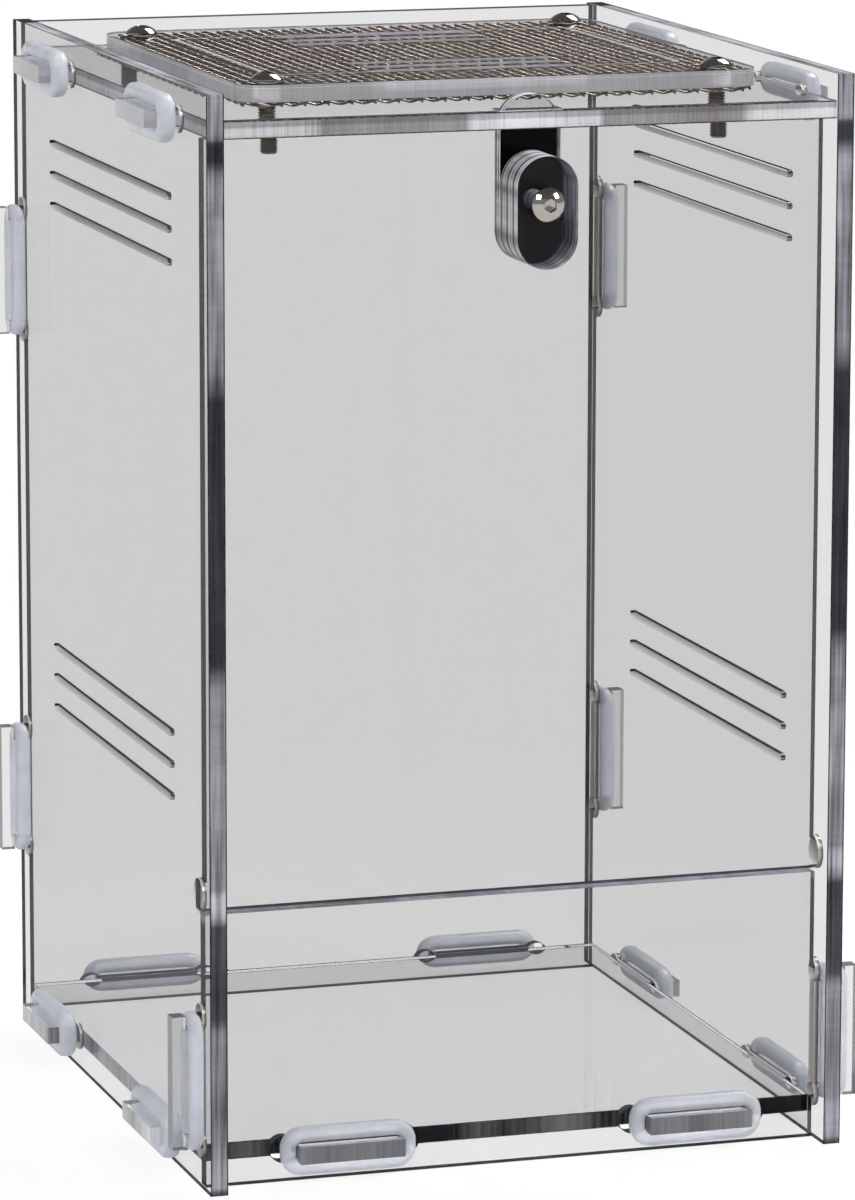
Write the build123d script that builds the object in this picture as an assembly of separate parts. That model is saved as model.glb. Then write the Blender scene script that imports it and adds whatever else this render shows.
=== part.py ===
"""Clear acrylic small-animal enclosure: tabbed panels, drop-down door, sliding latch and meshed vent lid."""
import os

from build123d import *

# Driving dimensions, in millimetres. The front is -Y, the top is +Z.
sheet = 3.0               # thickness of every acrylic panel
outer_width = 112.0       # over the outer faces of the two side panels
outer_depth = 128.0       # front edge to back edge of a side panel
outer_height = 184.0      # side and back panels
front_setback = 5.5       # door and lower front panel, behind the side panels' front edges
back_setback = 3.0        # back panel, ahead of the side panels' back edges
floor_lift = 4.0          # underside of the floor above the table
lid_drop = 7.4            # underside of the lid below the top of the side panels

# Tabs that pass through slots in the neighbouring panel, each held by a silicone ring.
tab_reach = 5.0           # how far a tab stands out of the panel it passes through
tab_width = 18.3          # plain tabs of the floor and lid, and the necks of the hooked tabs
hook_width = 22.8         # hooked tabs of the back and lower front panels
ring_section = 2.4        # thickness of the ring's round section
ring_clearance = 0.25     # ring to tab
ring_seat = 0.05          # ring to panel
ring_corner = 2.0         # bend radius of the ring's centre line
slot_length = 26.3        # whole slot, with its round relief ends
slot_clearance = 0.1      # slot wall to tab face
relief_diameter = 4.6     # round ends of a slot
side_tab_spacing = 70.0   # floor and lid tabs along the side panels
cross_tab_spacing = 62.0  # floor tabs along the front and back panels
back_tab_low = 44.0       # centre heights of the back panel's tabs
back_tab_high = 139.3
front_tab_height = 18.3   # centre height of the lower front panel's tabs

# Vent slits, in groups of three.
slit_width = 1.2
slit_count = 3
side_slit_length = 78.5
side_slit_pitch = 5.5
side_slit_forward = 1.0   # slit centre ahead of the side panel's middle
side_slit_low = 68.6      # centre heights of the two groups
side_slit_high = 159.1
top_slit_length = 36.0
top_slit_pitch = 6.5
top_slit_groups = 44.8    # spacing of the two groups on the top plate

# Door, its hinge ears and their holes.
hinge_height = 50.0
ear_height = 4.8
ear_clearance = 0.08      # ear corner to hole wall
door_below_hinge = 2.5
door_side_gap = 0.4
door_top_gap = 0.5
door_bottom_gap = 0.7

# Latch: a tongue and three grip plates on one screw that slides in a slot of the door.
latch_width = 10.4
tongue_above_lid = 2.5
tongue_length = 27.9
grip_length = 18.7
grip_plates = 3
latch_screw_rise = 1.4    # screw above the middle of the grip
latch_travel = 7.0
latch_gap = 0.1           # between the sliding faces
plate_gap = 0.05          # between the latch's stacked plates
latch_slot_gap = 0.3      # screw to door slot, and tongue to lid slot

# Vent stack on the lid: mesh and top plate.
top_plate_side = 91.0
top_plate_corner = 5.0
mesh_inset = 0.6          # mesh edge inside the top plate's edge
mesh_thickness = 0.9
mesh_border = 9.0
mesh_gaps = 17            # gaps along one side of the net
mesh_bar = 0.6            # bar between two gaps
window_width = 73.4       # lid window below the mesh
window_depth = 62.0
window_corner = 3.0
score_width = 1.0         # scored outline on the top plate, above the window
score_depth = 0.6
lid_screw_spacing = 79.0
screw_below_lid = 5.0
butt_gap = 0.1            # between a panel's edge and the panel it butts against

# M3 button-head screws, nut and washer.
screw_diameter = 3.0
screw_hole = 3.4
tapped_clearance = 0.03
head_diameter = 5.7
head_height = 1.65
head_rim = 0.4            # straight rim below the dome
socket_across = 2.0
socket_depth = 1.0
nut_across = 5.5
nut_height = 2.4
washer_diameter = 7.0
washer_height = 0.5
screw_past_nut = 1.0

# Derived places. The part's box is centred on the origin in X and Y.
crown = head_height - head_rim
dome_radius = ((head_diameter / 2) ** 2 + crown ** 2) / (2 * crown)
head_top = head_height - dome_radius + (dome_radius ** 2 - (socket_across / 2) ** 2) ** 0.5
grip_pitch = sheet + plate_gap
latch_stack = latch_gap + sheet + grip_plates * grip_pitch
front_reach = latch_stack + head_top - front_setback
back_reach = tab_reach - back_setback
front_edge = (front_reach - back_reach - outer_depth) / 2
back_edge = front_edge + outer_depth
side_middle = (front_edge + back_edge) / 2
outer_x = outer_width / 2
inner_x = outer_x - sheet
door_front = front_edge + front_setback
door_back = door_front + sheet
door_middle = (door_front + door_back) / 2
back_face = back_edge - back_setback
back_inner = back_face - sheet
floor_top = floor_lift + sheet
floor_middle = floor_lift + sheet / 2
lid_bottom = outer_height - lid_drop
lid_top = lid_bottom + sheet
lid_middle = lid_bottom + sheet / 2
mesh_top = lid_top + mesh_thickness
top_plate_top = mesh_top + sheet
lid_centre = (front_edge + back_inner) / 2
door_bottom = hinge_height - door_below_hinge
door_top = lid_bottom - door_top_gap
lower_front_top = door_bottom - door_bottom_gap
hinge_hole = (sheet ** 2 + ear_height ** 2) ** 0.5 + 2 * ear_clearance
tongue_top = lid_top + tongue_above_lid
tongue_bottom = tongue_top - tongue_length
tongue_back = door_front - latch_gap
tongue_front = tongue_back - sheet
latch_screw_height = tongue_bottom + grip_length / 2 + latch_screw_rise
grip_front = tongue_front - grip_plates * grip_pitch
side_tab_places = [side_middle - side_tab_spacing / 2, side_middle + side_tab_spacing / 2]
cross_tab_places = [-cross_tab_spacing / 2, cross_tab_spacing / 2]
back_tab_places = [back_tab_low, back_tab_high]


def block(x, y, z):
    """A box between the low and high values given for each axis."""
    size = [high - low for low, high in (x, y, z)]
    centre = [(high + low) / 2 for low, high in (x, y, z)]
    return Pos(*centre) * Box(*size)


def rod(axis, centre, diameter, length):
    """A round rod of the given length along X, Y or Z, centred on a point."""
    turn = {"X": Rot(0, 90, 0), "Y": Rot(90, 0, 0), "Z": Rot(0, 0, 0)}[axis]
    return Pos(*centre) * turn * Cylinder(diameter / 2, length)


def run_along(axis, low, high):
    """The centre line's two end points, as offsets along one axis."""
    unit = {"X": Vector(1, 0, 0), "Y": Vector(0, 1, 0), "Z": Vector(0, 0, 1)}[axis]
    return unit * low, unit * high


def slot_cut(centre, through, along, length, width, end_diameter, depth):
    """A slot through a panel, with a round hole at each end."""
    centre = Vector(*centre)
    half = (length - end_diameter) / 2
    size = {through: depth, along: 2 * half}
    across = [name for name in "XYZ" if name not in size][0]
    size[across] = width
    cut = Pos(*centre) * Box(size["X"], size["Y"], size["Z"])
    for offset in run_along(along, -half, half):
        cut += rod(through, centre + offset, end_diameter, depth)
    return cut


def tab_slot(centre, through, along):
    """The slot that a tab passes through."""
    width = sheet + 2 * slot_clearance
    return slot_cut(centre, through, along, slot_length, width, relief_diameter, 2 * sheet)


def slit_group(centre, through, along, stack, length, pitch):
    """A group of narrow vent slits, one beside the other."""
    cut = None
    for index in range(slit_count):
        offset = (index - (slit_count - 1) / 2) * pitch
        place = Vector(*centre) + run_along(stack, offset, offset)[0]
        slit = slot_cut(place, through, along, length, slit_width, slit_width, 2 * sheet)
        cut = slit if cut is None else cut + slit
    return cut


def hook_notches(side, height):
    """The two notches that leave a hooked tab's neck for its ring."""
    inner = side * outer_x
    outer = inner + side * (ring_section + ring_seat + ring_clearance)
    reach = (min(inner, outer), max(inner, outer))
    notch = (hook_width - tab_width) / 2
    cut = None
    for end in (-1, 1):
        edge = height + end * hook_width / 2
        neck = edge - end * notch
        piece = block(reach, (front_edge, back_edge), (min(edge, neck), max(edge, neck)))
        cut = piece if cut is None else cut + piece
    return cut


def side_panel(side):
    """A side panel with its tab slots, hinge hole and vent slits."""
    middle_x = side * (outer_x - sheet / 2)
    low, high = sorted((side * inner_x, side * outer_x))
    panel = block((low, high), (front_edge, back_edge), (0, outer_height))
    for place in side_tab_places:
        panel -= tab_slot((middle_x, place, floor_middle), "X", "Y")
        panel -= tab_slot((middle_x, place, lid_middle), "X", "Y")
    for height in back_tab_places:
        panel -= tab_slot((middle_x, back_inner + sheet / 2, height), "X", "Z")
    panel -= tab_slot((middle_x, door_middle, front_tab_height), "X", "Z")
    panel -= rod("X", (middle_x, door_middle, hinge_height), hinge_hole, 2 * sheet)
    for height in (side_slit_low, side_slit_high):
        centre = (middle_x, side_middle - side_slit_forward, height)
        panel -= slit_group(centre, "X", "Y", "Z", side_slit_length, side_slit_pitch)
    return panel


def upright_panel(low_y, high_y, height, tab_heights):
    """A panel between the side panels, with hooked tabs and the floor's tab slots."""
    half = inner_x - butt_gap
    panel = block((-half, half), (low_y, high_y), (0, height))
    for side in (-1, 1):
        reach = sorted((side * (inner_x - sheet), side * (outer_x + tab_reach)))
        for place in tab_heights:
            span = (place - hook_width / 2, place + hook_width / 2)
            panel += block(reach, (low_y, high_y), span)
            panel -= hook_notches(side, place)
    for place in cross_tab_places:
        panel -= tab_slot((place, (low_y + high_y) / 2, floor_middle), "Y", "X")
    return panel


def side_tabs(z):
    """Plain tabs to the left and right, at one level."""
    half = tab_width / 2
    tabs = []
    for side in (-1, 1):
        reach = sorted((side * (inner_x - sheet), side * (outer_x + tab_reach)))
        tabs += [block(reach, (place - half, place + half), z) for place in side_tab_places]
    return tabs


def floor_plate():
    """The raised floor, with two tabs on each of its four edges."""
    z = (floor_lift, floor_top)
    half = inner_x - butt_gap
    plate = block((-half, half), (door_back + butt_gap, back_inner - butt_gap), z)
    for tab in side_tabs(z):
        plate += tab
    for place in cross_tab_places:
        span = (place - tab_width / 2, place + tab_width / 2)
        plate += block(span, (door_front - tab_reach, back_face + tab_reach), z)
    return plate


def rounded_plate(width, depth, corner, low, high, centre_y):
    """A flat plate with rounded corners."""
    plate = Pos(0, centre_y, (low + high) / 2) * Box(width, depth, high - low)
    return fillet(plate.edges().filter_by(Axis.Z), corner)


def lid_screw_places():
    """The four screw centres on the lid, in X and Y."""
    half = lid_screw_spacing / 2
    return [(x, lid_centre + y) for x in (-half, half) for y in (-half, half)]


def lid_plate():
    """The lid: side tabs, a window below the mesh, tapped holes and the tongue's slot."""
    z = (lid_bottom, lid_top)
    half = inner_x - butt_gap
    plate = block((-half, half), (front_edge, back_inner - butt_gap), z)
    for tab in side_tabs(z):
        plate += tab
    window_low = lid_bottom - sheet
    plate -= rounded_plate(window_width, window_depth, window_corner, window_low, lid_top + sheet, lid_centre)
    for x, y in lid_screw_places():
        plate -= rod("Z", (x, y, lid_middle), screw_diameter + 2 * tapped_clearance, 2 * sheet)
    reach = latch_width / 2 + latch_slot_gap
    across = (tongue_front - latch_slot_gap, tongue_back + latch_slot_gap)
    return plate - block((-reach, reach), across, (lid_bottom - sheet, lid_top + sheet))


def vent_net():
    """The vent mesh as a flat net with square gaps and a plain border."""
    side = top_plate_side - 2 * mesh_inset
    pitch = (side - 2 * mesh_border + mesh_bar) / mesh_gaps
    gap = pitch - mesh_bar
    outline = RectangleRounded(side, side, top_plate_corner - mesh_inset)
    outline -= GridLocations(pitch, pitch, mesh_gaps, mesh_gaps) * Rectangle(gap, gap)
    outline -= GridLocations(lid_screw_spacing, lid_screw_spacing, 2, 2) * Circle(screw_hole / 2)
    return extrude(Pos(0, lid_centre, lid_top) * outline, mesh_thickness)


def lid_top_plate():
    """The plate that clamps the mesh, with its slits and a scored outline above the window."""
    plate = rounded_plate(top_plate_side, top_plate_side, top_plate_corner, mesh_top, top_plate_top, lid_centre)
    middle = (mesh_top + top_plate_top) / 2
    for end in (-1, 1):
        centre = (0, lid_centre + end * top_slit_groups / 2, middle)
        plate -= slit_group(centre, "Z", "X", "Y", top_slit_length, top_slit_pitch)
    low = top_plate_top - score_depth
    high = top_plate_top + score_depth
    outer = rounded_plate(window_width, window_depth, window_corner, low, high, lid_centre)
    inside = 2 * score_width
    corner = window_corner - score_width
    inner = rounded_plate(window_width - inside, window_depth - inside, corner, low, high, lid_centre)
    plate -= outer - inner
    for x, y in lid_screw_places():
        plate -= rod("Z", (x, y, middle), screw_hole, 2 * sheet)
    return plate


def button_screw(length):
    """An M3 button-head screw, its head's underside at the origin and its shank pointing down."""
    dome = Pos(0, 0, head_height - dome_radius) * Sphere(dome_radius)
    head = Pos(0, 0, head_height / 2) * Cylinder(head_diameter / 2, head_height)
    head &= dome
    socket = extrude(RegularPolygon(socket_across / 2, 6, major_radius=False), socket_depth)
    head -= Pos(0, 0, head_height - socket_depth) * socket
    return head + Pos(0, 0, -length / 2) * Cylinder(screw_diameter / 2, length)


def lid_screws():
    """The four screws that clamp the vent stack, as one group."""
    screw = button_screw(sheet + mesh_thickness + sheet + screw_below_lid)
    places = [Pos(x, y, top_plate_top) for x, y in lid_screw_places()]
    return Compound(children=[place * screw for place in places])


def door_panel():
    """The drop-down door with its hinge ears and the latch screw's slot."""
    half = inner_x - door_side_gap
    panel = block((-half, half), (door_front, door_back), (door_bottom, door_top))
    ear = (hinge_height - ear_height / 2, hinge_height + ear_height / 2)
    panel += block((-outer_x, outer_x), (door_front, door_back), ear)
    width = screw_diameter + 2 * latch_slot_gap
    centre = (0, door_middle, latch_screw_height - latch_travel / 2)
    return panel - slot_cut(centre, "Y", "Z", latch_travel + width, width, width, 2 * sheet)


def latch_strip(front, length):
    """A latch plate with full round ends, drilled for the screw, rising from the tongue's lower end."""
    outline = SlotOverall(length, latch_width, rotation=90)
    middle = tongue_bottom + length / 2
    hole = Pos(0, latch_screw_height - middle) * Circle(screw_hole / 2)
    plane = Plane((0, front, middle), x_dir=(1, 0, 0), z_dir=(0, -1, 0))
    return extrude(plane * (outline - hole), -sheet)


def latch_screw():
    """The screw through the grip, the tongue and the door."""
    length = latch_stack + sheet + latch_gap + washer_height + nut_height + screw_past_nut
    return Pos(0, grip_front, latch_screw_height) * Rot(90, 0, 0) * button_screw(length)


def latch_washer():
    """The washer behind the door."""
    low = door_back + latch_gap
    centre = (0, low + washer_height / 2, latch_screw_height)
    return rod("Y", centre, washer_diameter, washer_height) - rod("Y", centre, screw_hole, sheet)


def latch_nut():
    """The hexagon nut behind the washer."""
    low = door_back + latch_gap + washer_height
    outline = RegularPolygon(nut_across / 2, 6, major_radius=False)
    outline -= Circle(screw_diameter / 2 + tapped_clearance)
    plane = Plane((0, low, latch_screw_height), x_dir=(1, 0, 0), z_dir=(0, 1, 0))
    return extrude(plane * outline, nut_height)


def ring(plane):
    """A silicone ring around a tab's neck. The plane's X runs along the tab's width, its Z outwards."""
    around = 2 * ring_clearance + ring_section
    path = RectangleRounded(tab_width + around, sheet + around, ring_corner).wire()
    start = Plane(origin=path @ 0, z_dir=path % 0)
    loop = sweep(start * Circle(ring_section / 2), path=path)
    return plane.location * Pos(0, 0, ring_section / 2 + ring_seat) * loop


def rings():
    """Every silicone ring, by name."""
    made = {}
    for side, side_name in ((-1, "left"), (1, "right")):
        outwards = (side, 0, 0)
        for place, end in zip(side_tab_places, ("front", "back")):
            for level, height in (("floor", floor_middle), ("lid", lid_middle)):
                plane = Plane((side * outer_x, place, height), x_dir=(0, 1, 0), z_dir=outwards)
                made[f"ring_{level}_{side_name}_{end}"] = ring(plane)
        for place, end in zip(back_tab_places, ("low", "high")):
            spot = (side * outer_x, back_inner + sheet / 2, place)
            made[f"ring_back_{side_name}_{end}"] = ring(Plane(spot, x_dir=(0, 0, 1), z_dir=outwards))
        spot = (side * outer_x, door_middle, front_tab_height)
        made[f"ring_front_{side_name}"] = ring(Plane(spot, x_dir=(0, 0, 1), z_dir=outwards))
        place = side * cross_tab_spacing / 2
        for end, face, outwards in (("front", door_front, (0, -1, 0)), ("back", back_face, (0, 1, 0))):
            plane = Plane((place, face, floor_middle), x_dir=(1, 0, 0), z_dir=outwards)
            made[f"ring_floor_{end}_{side_name}"] = ring(plane)
    return made


def all_nodes():
    """Every piece of the enclosure, by node name."""
    nodes = {
        "left_panel": side_panel(-1),
        "right_panel": side_panel(1),
        "back_panel": upright_panel(back_inner, back_face, outer_height, back_tab_places),
        "lower_front_panel": upright_panel(door_front, door_back, lower_front_top, [front_tab_height]),
        "floor_panel": floor_plate(),
        "lid_plate": lid_plate(),
        "lid_mesh": vent_net(),
        "lid_top_plate": lid_top_plate(),
        "lid_screws": lid_screws(),
        "door_panel": door_panel(),
        "latch_tongue": latch_strip(tongue_front, tongue_length),
        "latch_screw": latch_screw(),
        "latch_washer": latch_washer(),
        "latch_nut": latch_nut(),
    }
    for index in range(grip_plates):
        nodes[f"latch_grip_{index + 1}"] = latch_strip(tongue_front - (index + 1) * grip_pitch, grip_length)
    nodes.update(rings())
    return nodes


os.makedirs("parts", exist_ok=True)
for node_name, shape in all_nodes().items():
    export_step(shape, os.path.join("parts", f"{node_name}.step"))
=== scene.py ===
"""Looks of the clear acrylic enclosure: finishes, woven mesh, threaded screws and silicone rings."""
import logging
import math
from dataclasses import dataclass, replace
from enum import Enum
from functools import partial

import bpy
from bpy.types import Material, Mesh, Node, NodeSocket, NodeTree, Object
from mathutils import Matrix, Quaternion, Vector


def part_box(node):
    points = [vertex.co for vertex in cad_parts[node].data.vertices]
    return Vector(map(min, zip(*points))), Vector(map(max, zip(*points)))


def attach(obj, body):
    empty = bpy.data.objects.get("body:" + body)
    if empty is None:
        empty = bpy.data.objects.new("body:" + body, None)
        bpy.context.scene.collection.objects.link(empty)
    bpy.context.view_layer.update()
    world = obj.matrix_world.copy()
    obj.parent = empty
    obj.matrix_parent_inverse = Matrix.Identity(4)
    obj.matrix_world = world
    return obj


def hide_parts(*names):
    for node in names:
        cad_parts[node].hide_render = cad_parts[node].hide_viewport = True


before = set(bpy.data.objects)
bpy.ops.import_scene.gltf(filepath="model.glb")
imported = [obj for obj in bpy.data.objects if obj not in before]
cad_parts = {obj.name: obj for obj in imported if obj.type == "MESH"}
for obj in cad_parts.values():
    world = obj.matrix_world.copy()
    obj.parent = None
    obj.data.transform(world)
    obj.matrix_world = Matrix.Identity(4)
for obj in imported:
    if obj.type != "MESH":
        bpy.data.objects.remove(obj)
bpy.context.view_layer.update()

LOG = logging.getLogger("enclosure")
MM = 0.001

MATH = "ShaderNodeMath"
VECTORS = "ShaderNodeVectorMath"
RANGE = "ShaderNodeMapRange"
MIX = "ShaderNodeMix"
COLOURS = {"data_type": "RGBA"}
TINTED = {"data_type": "RGBA", "blend_type": "MULTIPLY"}
# A noise pattern's values mostly lie between these two.
NOISE_SPAN = (0.3, 0.7)
# Multiplied by this, a place loses its height.
LEVEL = (1.0, 1.0, 0.0)
# What lies lower than this from the underside of a screw's head belongs to its thread.
UNDER_HEAD = -0.01 * MM

Stops = tuple[tuple[float, float], ...]
Level = float | Node


def linear(colour: str) -> tuple[float, float, float, float]:
    """Turns an sRGB hex colour into linear light.

    Args:
        colour: Six hex digits after a hash sign.

    Returns:
        Red, green, blue and an alpha of one.
    """
    parts = [int(colour[i:i + 2], 16) / 255 for i in (1, 3, 5)]
    bent = [c / 12.92 if c <= 0.04045 else ((c + 0.055) / 1.055) ** 2.4 for c in parts]
    return (*bent, 1.0)


def add_node(tree: NodeTree, kind: str, settings: dict | str | None = None,
             inputs: dict | list | None = None) -> Node:
    """Adds one node with its settings, values and links.

    Args:
        tree: The tree that the node joins.
        kind: Blender's name for the kind of node.
        settings: Values of the node's own properties, or only its operation.
        inputs: What each input gets, by name or place, or in order: a value, a hex colour, a node or
            one of its outputs. A node gives the first output that its settings leave in use.

    Returns:
        The new node.
    """
    node = tree.nodes.new(kind)
    if isinstance(settings, str):
        settings = {"operation": settings}
    for name, value in (settings or {}).items():
        setattr(node, name, value)
    if not isinstance(inputs, dict):
        inputs = dict(enumerate(inputs or ()))
    for place, value in inputs.items():
        if isinstance(value, Node):
            value = next(output for output in value.outputs if output.enabled)
        if isinstance(value, NodeSocket):
            tree.links.new(value, node.inputs[place])
        else:
            node.inputs[place].default_value = linear(value) if isinstance(value, str) else value
    return node


def fill_ramp(ramp: Node, stops: Stops) -> None:
    """Sets a colour ramp's grey stops, spread over the ramp's length.

    Args:
        ramp: The ramp node, still with its first two stops.
        stops: The place and level of each stop, from first to last. The last place is the ramp's end.
    """
    marks = ramp.color_ramp.elements
    end = stops[-1][0]
    for index, (place, level) in enumerate(stops):
        mark = marks[index] if index < 2 else marks.new(place / end)
        mark.position = place / end
        mark.color = (level, level, level, 1.0)


def new_material(name: str) -> tuple[Material, NodeTree]:
    """Makes an empty node material.

    Args:
        name: The material's name.

    Returns:
        The material and its cleared node tree.
    """
    material = bpy.data.materials.new(name)
    material.use_nodes = True
    material.node_tree.nodes.clear()
    return material, material.node_tree


def place_object(name: str, mesh: Mesh) -> Object:
    """Links a mesh into the scene as an object at the origin.

    Args:
        name: The object's name.
        mesh: The mesh that it shows.

    Returns:
        The new object.
    """
    made = bpy.data.objects.new(name, mesh)
    bpy.context.scene.collection.objects.link(made)
    return made


def seat(piece: Object, body: str, slot: str, *nodes: str) -> None:
    """Makes a finished piece ride on a body and stand for its frame nodes.

    Args:
        piece: The finished piece.
        body: The body that it moves with.
        slot: The record's material slot. It is not used.
        nodes: The frame nodes that it replaces.
    """
    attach(piece, body)
    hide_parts(*nodes)
    LOG.info("%s rides on %s and stands for %s", piece.name, body, ", ".join(nodes))


def grown_mesh(name: str, tree: NodeTree, values: dict) -> Mesh:
    """Runs a geometry tree on an empty object and keeps the plain mesh that it gives.

    Args:
        name: The mesh's name.
        tree: The geometry tree.
        values: A value for each named input of the tree.

    Returns:
        The mesh, with its materials.
    """
    holder = place_object(name + "_holder", bpy.data.meshes.new(name + "_holder"))
    modifier = holder.modifiers.new(name, "NODES")
    modifier.node_group = tree
    for item in tree.interface.items_tree:
        if item.in_out == "INPUT" and item.name in values:
            modifier[item.identifier] = values[item.name]
    graph = bpy.context.evaluated_depsgraph_get()
    mesh = bpy.data.meshes.new_from_object(holder.evaluated_get(graph), depsgraph=graph)
    mesh.name = name
    holder.modifiers.remove(modifier)
    bpy.data.objects.remove(holder)
    return mesh


def geometry_tree(name: str, inputs: dict[str, tuple[str, object]]) -> tuple:
    """Starts a geometry tree with named inputs and one geometry output.

    Args:
        name: The tree's name.
        inputs: For each input's name, its socket type and default value.

    Returns:
        The tree, its group input node and its group output node.
    """
    tree = bpy.data.node_groups.new(name, "GeometryNodeTree")
    tree.interface.new_socket("Geometry", in_out="OUTPUT", socket_type="NodeSocketGeometry")
    for label, (kind, value) in inputs.items():
        socket = tree.interface.new_socket(label, in_out="INPUT", socket_type=kind)
        if value is not None:
            socket.default_value = value
    return tree, add_node(tree, "NodeGroupInput"), add_node(tree, "NodeGroupOutput")


@dataclass
class SheetPlan:
    """One sheet's box, and the coordinates that its finish is drawn on."""

    tree: NodeTree
    low: list[float]
    high: list[float]
    across: int
    spot: Node
    places: Node

    @classmethod
    def of(cls, sheet: Object, tree: NodeTree) -> "SheetPlan":
        """Reads a sheet's box, whose thinnest side is the sheet's thickness.

        Args:
            sheet: The sheet's object.
            tree: The tree of its material.

        Returns:
            The plan.
        """
        low = [min(corner[i] for corner in sheet.bound_box) for i in range(3)]
        high = [max(corner[i] for corner in sheet.bound_box) for i in range(3)]
        across = min(range(3), key=lambda i: high[i] - low[i])
        spot = add_node(tree, "ShaderNodeTexCoord")
        places = add_node(tree, "ShaderNodeSeparateXYZ", inputs=[spot.outputs["Object"]])
        return cls(tree, low, high, across, spot, places)

    def middle(self, axis: int) -> float:
        """The middle of the sheet along an axis."""
        return (self.low[axis] + self.high[axis]) / 2

    def half(self, axis: int) -> float:
        """Half of the sheet's size along an axis."""
        return (self.high[axis] - self.low[axis]) / 2

    def level(self) -> Node:
        """How far through the sheet a place lies, from nought at its low face to one at its high face."""
        return add_node(self.tree, RANGE, None, [
            self.places.outputs[self.across], self.low[self.across], self.high[self.across], 0.0, 1.0])

    def beyond(self, axis: int, centre: float, limit: float) -> Node:
        """Tests whether a place lies further than a limit from a centre.

        Args:
            axis: The axis to measure along.
            centre: The centre.
            limit: The limit.

        Returns:
            A node that gives one there and nought elsewhere.
        """
        away = add_node(self.tree, MATH, "SUBTRACT", [self.places.outputs[axis], centre])
        away = add_node(self.tree, MATH, "ABSOLUTE", [away])
        return add_node(self.tree, MATH, "GREATER_THAN", [away, limit])

    def grain(self, along_mm: float, across_mm: float, detail: float, ends: tuple[float, float],
              span: tuple[float, float] = NOISE_SPAN) -> Node:
        """Draws cloudy lines.

        Args:
            along_mm: Their spacing along the sheet.
            across_mm: Their spacing across its thickness.
            detail: How many finer patterns lie on the first.
            ends: The levels of the darkest and the palest lines.
            span: The pattern's values that get these two levels.

        Returns:
            The levels' node.
        """
        scale = [1 / (along_mm * MM)] * 3
        scale[self.across] = 1 / (across_mm * MM)
        moved = add_node(self.tree, "ShaderNodeMapping", None, {
            "Vector": self.spot.outputs["Object"], "Scale": scale})
        cloud = add_node(self.tree, "ShaderNodeTexNoise", None, {
            "Vector": moved, "Scale": 1.0, "Detail": detail})
        return add_node(self.tree, RANGE, None, [cloud, *span, *ends])


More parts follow.
